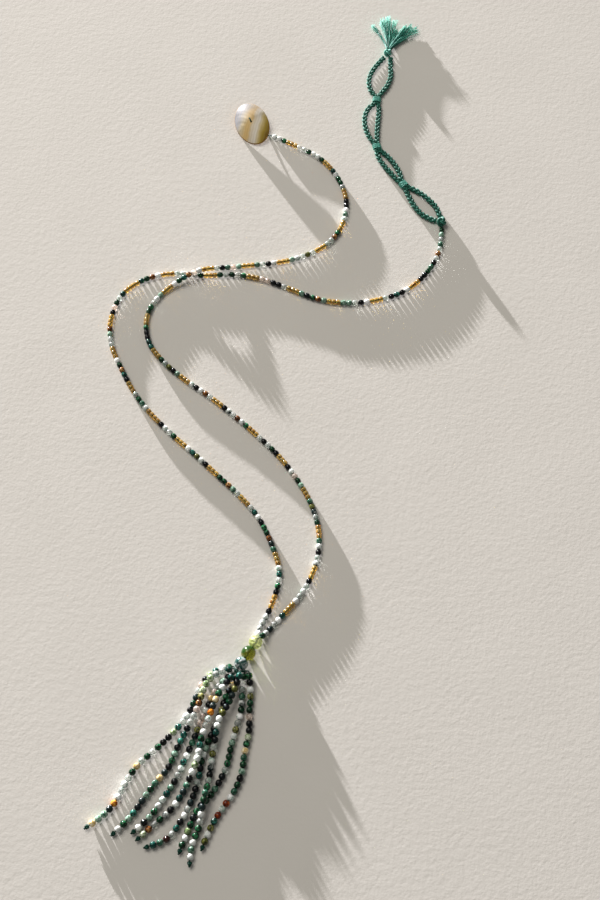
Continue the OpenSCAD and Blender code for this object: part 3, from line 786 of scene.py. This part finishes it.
def polished_stone():
    """Opaque agate: cloudy veins in each bead's own two colours, under a polish."""
    material, shader, place = start_finish(
        "polished_stone", Coat_Weight=0.2, Coat_Roughness=0.04, Specular_IOR_Level=0.2
    )
    body = place.of_mesh("body", "Color")
    vein = place.of_mesh("vein", "Color")
    cloud = place.noise(620, 3, 0.6)
    share = (cloud - 0.72 + place.of_mesh("cover") * 0.75).clamped(0, 0.2)
    fleck = place.noise(2600, 2)
    spot = 1 - place.noise(1250, 1).clamped(0.4, 0.54)
    multiply = {"data_type": "RGBA", "blend_type": "MULTIPLY"}
    spotted = spot.node("ShaderNodeMix", multiply, {0: spot, 6: share.mixed(body, vein), 7: body}, 2)
    to_shader(
        shader,
        Base_Color=(fleck.clamped(0.5, 0.95) * 0.4).mixed(spotted, vein),
        Roughness=0.08 + share * 0.1 + fleck * 0.05,
        Normal=raised(fleck, 0.12, 0.05),
    )
    return material


def with_milk(shader, colour, share, roughness):
    """Gives a clear shader its colour, and mixes a share of milky glass of that colour into it."""
    to_shader(shader, Base_Color=colour)
    clear = Shade(colour.tree, shader.outputs[0])
    milk = colour.node("ShaderNodeBsdfPrincipled", {}, {"Base Color": colour, "Roughness": roughness})
    mix = colour.node("ShaderNodeMixShader", {}, {0: share, 1: clear, 2: milk})
    colour.tree.links.new(mix.socket, colour.tree.nodes["Material Output"].inputs[0])


def clear_stone():
    """Quartz and amber glass: clear in each bead's own colour, with milky clouds inside."""
    material, shader, place = start_finish("clear_stone", Transmission_Weight=1, IOR=1.46)
    streak = place.noise(700, 3, 0.4).clamped(0.46, 0.66)
    colour = streak.mixed(place.of_mesh("body", "Color"), place.of_mesh("vein", "Color"))
    to_shader(shader, Roughness=0.1 + streak * 0.15)
    with_milk(shader, colour, streak * 0.35 + 0.2, 0.2)
    return material


stone = polished_stone()
glass = clear_stone()


def strung(name, line, starts, lengths, widths, kinds, node):
    """Makes a piece of the beads on a line, with a colour, veins and a clearness for each. Amber is
    always clear, and so are pink beads and some of the white ones. Gives back the thread across
    the gap after each bead but the last: these threads meet in the middle of an amber bead, where
    they show through, and only reach into the other beads' holes."""
    count = len(kinds)
    amber = kinds == "a"
    clear = amber | (kinds == "C") | ((kinds == "W") & (bead_random.random(count) < CLEAR_SHARE))
    forms = np.where(amber[:, None, None], seed_form, stone_form)
    shade = np.where(clear[:, None], 1, bead_random.uniform(0.78, 1.2, (count, 1)))
    body, vein, cover = (np.array([stone_kinds[kind][part] for kind in kinds]) for part in range(3))
    values = {"body": np.clip(body * shade, 0, 1), "vein": vein}
    values["cover"] = cover * bead_random.uniform(0.4, 1.5, count)
    widths = widths * bead_random.uniform(0.95, 1, count)
    beads = (bead_rings(line, starts, lengths, widths, forms, BEAD_CLOSE), np.zeros(len(stone_form)))
    make_piece(name, [beads], [stone, glass], [node], values, clear)
    inside = np.where(amber, lengths / 2, THREAD_IN)
    gap_from = (starts + lengths - inside)[:-1]
    gaps = (starts + inside)[1:] - gap_from
    return bead_rings(line, gap_from, gaps, np.full(count - 1, 2 * THREAD_R), thread_form), np.zeros(2)


def neck_string(name, line, beads_from, beads_to, chart, node):
    """Beads laid end to end from one distance to another, and the thread that runs through them."""
    kinds = np.array(list(chart.replace(" ", "aaa")))
    sizes = np.array([AMBER_SIZE if kind == "a" else STONE_SIZE for kind in kinds])
    lengths = sizes[:, 0] * (beads_to - beads_from) / sizes[:, 0].sum()
    starts = beads_from + np.concatenate([[0], np.cumsum(lengths)[:-1]])
    bare = [strung(f"{name}_beads", line, starts, lengths, sizes[:, 1], kinds, node)]
    for thread_from, thread_to in ((0, beads_from + THREAD_IN), (beads_to - THREAD_IN, run_of(line)[-1])):
        thread, run = evenly(at_distance(line, np.linspace(thread_from, thread_to, LEAD_POINTS)), 0.5)
        bare.append((rings_round(thread, THREAD_R, THREAD_AROUND), run))
    make_piece(f"{name}_thread", bare, [thread_cotton], [])


junction_ahead = np.array([*ahead(JUNCTION_HEADING), 0])
junction_side = np.cross([0, 0, 1], junction_ahead)


def string_end(side):
    """A string's last two points: where its last bead meets the lime bead, above or below the other
    string's last bead, and where its thread goes into the lime bead's hole."""
    beside = JUNCTION_AT - 0.45 * junction_ahead - side * (0.8 * junction_side + [0, 0, 1.1])
    return [beside, JUNCTION_AT + 0.4 * junction_ahead]


button_lead = [
    on_button(np.array([2.2, 0, 0.9])) - TO_ORIGIN,
    [*(BUTTON_AT[:2] - TO_ORIGIN[:2] + 0.93 * RIM_TOWARDS_STRING * STRING_SIDE), THREAD_R],
]
a_points = button_lead + [[*p, NECK_R] for p in neck_a_route] + string_end(-1)
a_line = smooth_curve(a_points) + TO_ORIGIN
near = np.clip(1 - np.linalg.norm(a_line[:, :2] - CROSSING, axis=1) / CROSSING_REACH, 0, 1)
a_low = np.where(np.arange(len(a_line)) < 2 * STEPS, THREAD_R, NECK_R)
a_line[:, 2] = np.maximum(a_line[:, 2], a_low) + CROSSING_LIFT * near**2 * (3 - 2 * near)
a_run = run_of(a_line)
neck_string("neck_a", a_line, a_run[2 * STEPS], a_run[-1 - STEPS], neck_a_beads, "neck_string_a")

b_points = [[*p, NECK_R] for p in neck_b_route] + string_end(1)
b_line = smooth_curve(b_points) + TO_ORIGIN
b_line[:, 2] = np.maximum(b_line[:, 2], NECK_R)
b_run = run_of(b_line)
neck_string("neck_b", b_line, b_run[0], b_run[-1 - STEPS], neck_b_beads, "neck_string_b")

# Large beads: a faceted lime quartz, a smooth olive glass bead and a mottled agate, on one thread
# from the neck strings down to the knot that the tassel hangs from.

LIME = (5.4, 4.7)
OLIVE = (5.6, 5.2)
AGATE = (5.4, 4.4)
HEAD_KNOT_D = 2.2
SEAT_GAP = 0.1
LIME_FACETS = 9
BALL_ROWS = 15
BALL_AROUND = 32
lime_s = LIME[1] / 2
olive_s = LIME[1] + SEAT_GAP + OLIVE[1] / 2
agate_s = LIME[1] + OLIVE[1] + 2 * SEAT_GAP + AGATE[1] / 2
head_s = agate_s + AGATE[1] / 2 + 2 * SEAT_GAP + HEAD_KNOT_D / 2


def on_core(s):
    """The point of the straight core thread at a distance below the lime bead's upper face."""
    return JUNCTION_AT + np.multiply.outer(s, junction_ahead) + TO_ORIGIN


def core_bead(name, s, size, form, around, material, node, stagger=0):
    """One of the large beads, turned about the core thread from an outline. A stagger turns every
    second ring by that share of a step, which cuts flat kite-shaped facets."""
    width, length = size
    turn = (np.arange(around)[None] + stagger * (np.arange(len(form))[:, None] % 2)) * 2 * np.pi / around
    out = form[:, :1] * width / 2
    side = out * np.cos(turn)
    up = out * np.sin(turn)
    middle = on_core(s + form[:, 1] * length / 2)
    rings = middle[:, None] + side[..., None] * junction_side + up[..., None] * np.array([0, 0, 1.0])
    make_piece(name, [(rings, np.zeros(len(form)))], [material], [node], smooth=not stagger)


def smooth_form(flat_end):
    """Rows of a round bead's outline: a circle cut off at the hole, with the hole's dimple. The
    flat end is the turn in degrees from the bead's middle to where it is cut off."""
    flat_end = np.radians(flat_end)
    turn = np.linspace(-flat_end, flat_end, BALL_ROWS)
    ball = np.column_stack([np.cos(turn), np.sin(turn) / np.sin(flat_end)])
    return np.vstack([[0.19, -0.86], [0.2, -0.97], ball, [0.2, 0.97], [0.19, 0.86]])


def glass_finish(name, shallow, deep, roughness, milky, s, lean):
    """Clear coloured glass with denser clouds of colour inside, part of it milky. The colour gets
    deeper from one side of the bead's middle to the other by the lean, a share for each mm."""
    material, shader, place = start_finish(name, Transmission_Weight=1, IOR=1.45, Roughness=roughness)
    cloud = (place.noise(260, 3, 0.5).clamped(0.35, 0.68) + place.past(on_core(s), lean)).clamped(0, 1)
    with_milk(shader, cloud.mixed((*shallow, 1), (*deep, 1)), cloud * 0.3 + milky, 0.15)
    return material


def agate_finish():
    """Banded agate: teal clouds and white patches with fine dark cracks between them."""
    material, shader, place = start_finish("banded_agate", Coat_Weight=0.7, Coat_Roughness=0.04)
    cloud = place.noise(330, 3, 1.2)
    cells = {"Vector": place, "Scale": 520}
    crack = place.node("ShaderNodeTexVoronoi", {"feature": "DISTANCE_TO_EDGE"}, cells)
    coloured = cloud.ramp(
        [
            (0.3, (0.001, 0.016, 0.014)), (0.42, (0.006, 0.05, 0.04)), (0.48, (0.08, 0.14, 0.12)),
            (0.55, (0.5, 0.53, 0.56)), (0.66, (0.16, 0.24, 0.2)), (0.76, (0.006, 0.05, 0.035)),
        ]
    )
    to_shader(
        shader,
        Base_Color=crack.clamped(0, 0.06).mixed((0.02, 0.1, 0.09, 1), coloured),
        Roughness=0.12 + cloud * 0.12,
        Normal=raised(cloud, 0.1, 0.05),
    )
    return material


lime_form = mirrored([[0.2, -0.9], [0.42, -1], [0.8, -0.7], [0.99, -0.22]])
lime = glass_finish(
    "lime_quartz", (0.84, 0.88, 0.52), (0.58, 0.68, 0.22), roughness=0.05, milky=0.2, s=lime_s, lean=(0, 0, 0)
)
# The olive glass's clouds are its own, but its lean points towards the sun and up: the sunward side and top
# are painted deep green and the far side clear yellow, a painted glow of sunlight through the glass.
olive = glass_finish(
    "olive_glass", (0.85, 0.72, 0.03), (0.04, 0.12, 0.02), roughness=0.04, milky=0.1, s=olive_s,
    lean=(-0.18, 0.26, 0.1),
)
agate = agate_finish()
olive_form, agate_form = smooth_form(66), smooth_form(58)
core_bead("lime_quartz_bead", lime_s, LIME, lime_form, LIME_FACETS, lime, "lime_bead", 0.5)
core_bead("olive_glass_bead", olive_s, OLIVE, olive_form, BALL_AROUND, olive, "olive_bead")
core_bead("agate_round_bead", agate_s, AGATE, agate_form, BALL_AROUND, agate, "agate_bead")
core_line = evenly(on_core(np.array([0.1, head_s - 0.5])), 0.3)[0]
core = plied(core_line, [0, 0.5], 0.14, (0.14, 1, np.pi / 2), radius=0.16, repeat=1.4, around=6, rise=0)
head_knot = knotted(on_core(head_s) - TO_ORIGIN, JUNCTION_HEADING, HEAD_KNOT_D / 2, thick=0.4, tall=1.3)
make_piece("core_yarn", [core, head_knot], [thread_cotton], ["core_thread"])

# Tassel: eight strands of small polished agates on green thread, knotted together under the agate
# bead. The strands lie over each other near the top, fan out below, and each ends in a knot.

TASSEL_R = 1.375
TASSEL_D = 2.75
PITCH = 2.62
# The length that sets out the beads, and the length they are drawn at, which nearly closes the gaps
TASSEL_BEAD_L = 2.3
TASSEL_DRAWN_L = 2.484
KNOT_L = 2.4
LEAD_STEPS = 12
TAIL_STEPS = 6
TAIL_AROUND = 7
head_at = JUNCTION_AT + head_s * junction_ahead
# Strand routes as x and y from the head knot, and the lift in bead diameters where there is one
tassel_routes = [
    [[-2.7, 1.9], [-6.5, 1.1], [-10.3, -1.3], [-12.9, -4.7], [-14.5, -8.5], [-16.5, -13.9],
     [-19.9, -19.7], [-24.4, -24.9], [-29.9, -30.4], [-35.4, -35.4], [-39.4, -41.4], [-42.4, -47.9],
     [-46.4, -53.4], [-54.1, -59.3]],
    [[-2.7, 0.2, 0.9], [-6.3, -0.8, 0.9], [-9.7, -3.2, 0.9], [-11.9, -6.7, 0.8], [-13.1, -10.9, 0.8],
     [-14.3, -14.9, 0.8], [-16.2, -19.2, 0.6], [-18.6, -23.4, 0.15], [-21.4, -29.4], [-24.4, -36.9],
     [-28.9, -42.4], [-33.4, -48.9], [-37.9, -55.4], [-45, -62.5]],
    [[-3.1, -1.9], [-5.7, -4.3], [-8.1, -7.9], [-10.3, -13.2], [-13.3, -20.4], [-15.7, -26.9],
     [-18.9, -34.9], [-21.9, -41.9], [-25.9, -48.4], [-30.4, -54.9], [-37.7, -61.7]],
    [[-1.7, -2.7, 0.9], [-3.9, -5.2, 0.9], [-5.9, -8.1, 0.9], [-7.7, -11.7, 0.8], [-9.1, -15.9, 0.8],
     [-10.7, -20.4, 0.7], [-12.6, -26.4, 0.6], [-13.1, -31.4, 0.9], [-14.1, -35.4, 0.9],
     [-15.9, -39.9, 0.4], [-18.9, -46.4], [-23.4, -52.9], [-29.4, -58.2], [-36.7, -64.9]],
    [[-0.1, -2.7], [-1.9, -5.9], [-3.7, -9.4], [-4.9, -13.4], [-5.9, -17.4], [-8.1, -22.4],
     [-9.9, -26.9], [-11.3, -30.9], [-12.4, -34.9], [-12.9, -39.4], [-13.9, -43.9], [-15.9, -49.9],
     [-19.4, -56.9], [-23.9, -62.9], [-33.5, -66.5]],
    [[2.8, -1.7], [2.2, -4.9], [2.3, -9.9], [1.9, -15.9], [0.1, -22.4], [-1.5, -28.9], [-2.7, -35.4],
     [-4.9, -40.9], [-8.4, -46.9], [-13.3, -52.4], [-16.2, -59.4], [-19.7, -68.7]],
    [[1.2, -2.3, 1], [0.3, -5.3, 0.95], [-1.3, -9.4, 0.7], [-3.1, -13.9, 0.9], [-5.5, -17.9, 1],
     [-6.7, -21.9, 0.9], [-7.4, -26.9, 0.5], [-8.3, -31.9], [-8.9, -37.9], [-9.6, -42.9, 0.5],
     [-10.7, -48.4, 1.05], [-11.5, -52.9, 0.8], [-12.3, -58.4, 0.1], [-14.9, -65.4], [-15.6, -75.2]],
    [[4.8, -2, 0.75], [5.2, -4.6, 0.55], [5.4, -7.1, 0.2], [5.5, -10.9], [5.1, -15.9], [5.1, -23.4],
     [3.6, -30.9], [2.6, -38.9], [-0.4, -46.4], [-4.9, -52.9], [-8.7, -59.9], [-12, -68.5]],
]
tassel_beads = [
    "GWTLKCWPGKWWTLKKGWGWYGWWWWAPMMY",
    "TWWLLLOBCWWKTTKMGKPYMGMPKTMGW",
    "KMWCYKWCCOKMKWTWWKMTWWGMKW",
    "TKWGYPAWWWGTWWLWKMPTWKPGWBL",
    "KYKGKOKWKKGMWGKTWKKPWWKTWDMT",
    "GWWMPGWWOWMGGGWKKMGGKGKGLWG",
    "TKOPGKOWWTKWOWPKWGMGPWWGGWMW",
    "GKWOGGCKKLGYMGMKGMWRWRTOWO",
]


def strand_line(route):
    """A strand's middle line: from the head knot's side to the mouth of the first bead, straight
    through that bead, and on along its route."""
    p = np.array([[*p, 0][:3] for p in route]) * [1, 1, TASSEL_D] + [*head_at[:2], TASSEL_R]
    u = unit(p[1] - p[0])
    mouth = p[0] - (TASSEL_BEAD_L / 2 + 0.5) * u
    out = unit(mouth - head_at)
    lead = [head_at + out * (HEAD_KNOT_D / 2 + 0.2), mouth, p[0] - (TASSEL_BEAD_L / 2 - 0.45) * u]
    line = smooth_curve(np.vstack([lead, p]))
    line[:, 2] = np.maximum(line[:, 2], TASSEL_R)
    return line + TO_ORIGIN


for number, (route, chart) in enumerate(zip(tassel_routes, tassel_beads), 1):
    line = strand_line(route)
    run = run_of(line)
    start = run[3 * STEPS]
    count = int((run[-1] - KNOT_L - start - TASSEL_BEAD_L / 2) // PITCH) + 1
    kinds = np.array(list((chart * 2)[:count]))
    starts = start - TASSEL_BEAD_L / 2 + np.arange(count) * PITCH
    lengths = np.full(count, TASSEL_DRAWN_L)
    node = f"tassel_strand_{number}"
    yarn = [strung(f"tassel_beads_{number}", line, starts, lengths, TASSEL_D, kinds, node)]
    beads_end = start + (count - 0.5) * PITCH
    last_from = beads_end - PITCH / 2 + TASSEL_BEAD_L / 2 - THREAD_IN
    lead = np.linspace(0, starts[0] + THREAD_IN, LEAD_STEPS)
    for distances in (lead, np.linspace(last_from, beads_end + 0.3, 4)):
        part = at_distance(line, distances)
        yarn.append((rings_round(part, THREAD_R, THREAD_AROUND), run_of(part)))
    knot_middle, knot_ahead = at_distance(line, np.array([beads_end + 1.1, beads_end + 1.4]))
    knot_heading = np.degrees(np.arctan2(*(knot_ahead - knot_middle)[[1, 0]]))
    yarn.append(knotted(knot_middle - TO_ORIGIN, knot_heading, size=0.95, thick=0.36, tall=1.3))
    tail = at_distance(line, np.linspace(beads_end + KNOT_L / 2, beads_end + KNOT_L, TAIL_STEPS))
    flare = np.linspace(0.3, 0.42, TAIL_STEPS)[:, None]
    yarn.append((rings_round(tail, flare, TAIL_AROUND), np.linspace(0, KNOT_L / 2, TAIL_STEPS)))
    make_piece(f"tassel_yarn_{number}", yarn, [thread_cotton], [f"tassel_thread_{number}"])

# Surface: a plain board that is plastered in a pale warm white, with a fine trowelled grain and
# crumbs in it.

plaster, plaster_shader, plaster_place = start_finish("plaster", Specular_IOR_Level=0.3)
trowel = plaster_place.noise(28, 4, 0.3)
grain = plaster_place.noise(420, 4)
crumb = plaster_place.noise(950, 3)
to_shader(
    plaster_shader,
    Base_Color=trowel.clamped(0.2, 0.8).mixed((0.68, 0.655, 0.61, 1), (0.71, 0.685, 0.64, 1)),
    Roughness=0.8 + grain * 0.1,
    Normal=raised(grain * 0.45 + crumb * 0.25 + trowel * 0.5, 0.36, 0.3),
)
floor_mesh = bpy.data.meshes.new("floor")
floor_mesh.from_pydata([(-3, -3, 0), (3, -3, 0), (3, 3, 0), (-3, 3, 0)], [], [(0, 1, 2, 3)])
floor_mesh.materials.append(plaster)
in_scene("floor", floor_mesh)

# Light: low direct sun from the far left, which throws long shadows to the near right, over a soft
# fill from above.

FILL_AT = Vector((-0.8, 0.75, 1.8))
SUN_TRAVEL = Vector((0.488, -0.873, -0.067))
fill_data = bpy.data.lights.new("fill", "AREA")
fill_data.size = 1.2
fill_data.energy = 22.5
fill_data.color = (1, 0.955, 0.88)
fill = in_scene("fill", fill_data)
fill.location = FILL_AT
fill.rotation_euler = facing(-FILL_AT)
sun_data = bpy.data.lights.new("sun", "SUN")
sun_data.energy = 15.8
sun_data.angle = np.radians(0.8)
sun_data.color = (1, 0.965, 0.985)
sun = in_scene("sun", sun_data)
sun.rotation_euler = facing(SUN_TRAVEL)
world = bpy.data.worlds.new("studio")
world.use_nodes = True
background = world.node_tree.nodes["Background"]
background.inputs["Color"].default_value = (1, 0.98, 0.95, 1)
background.inputs["Strength"].default_value = 0.2
bpy.context.scene.world = world
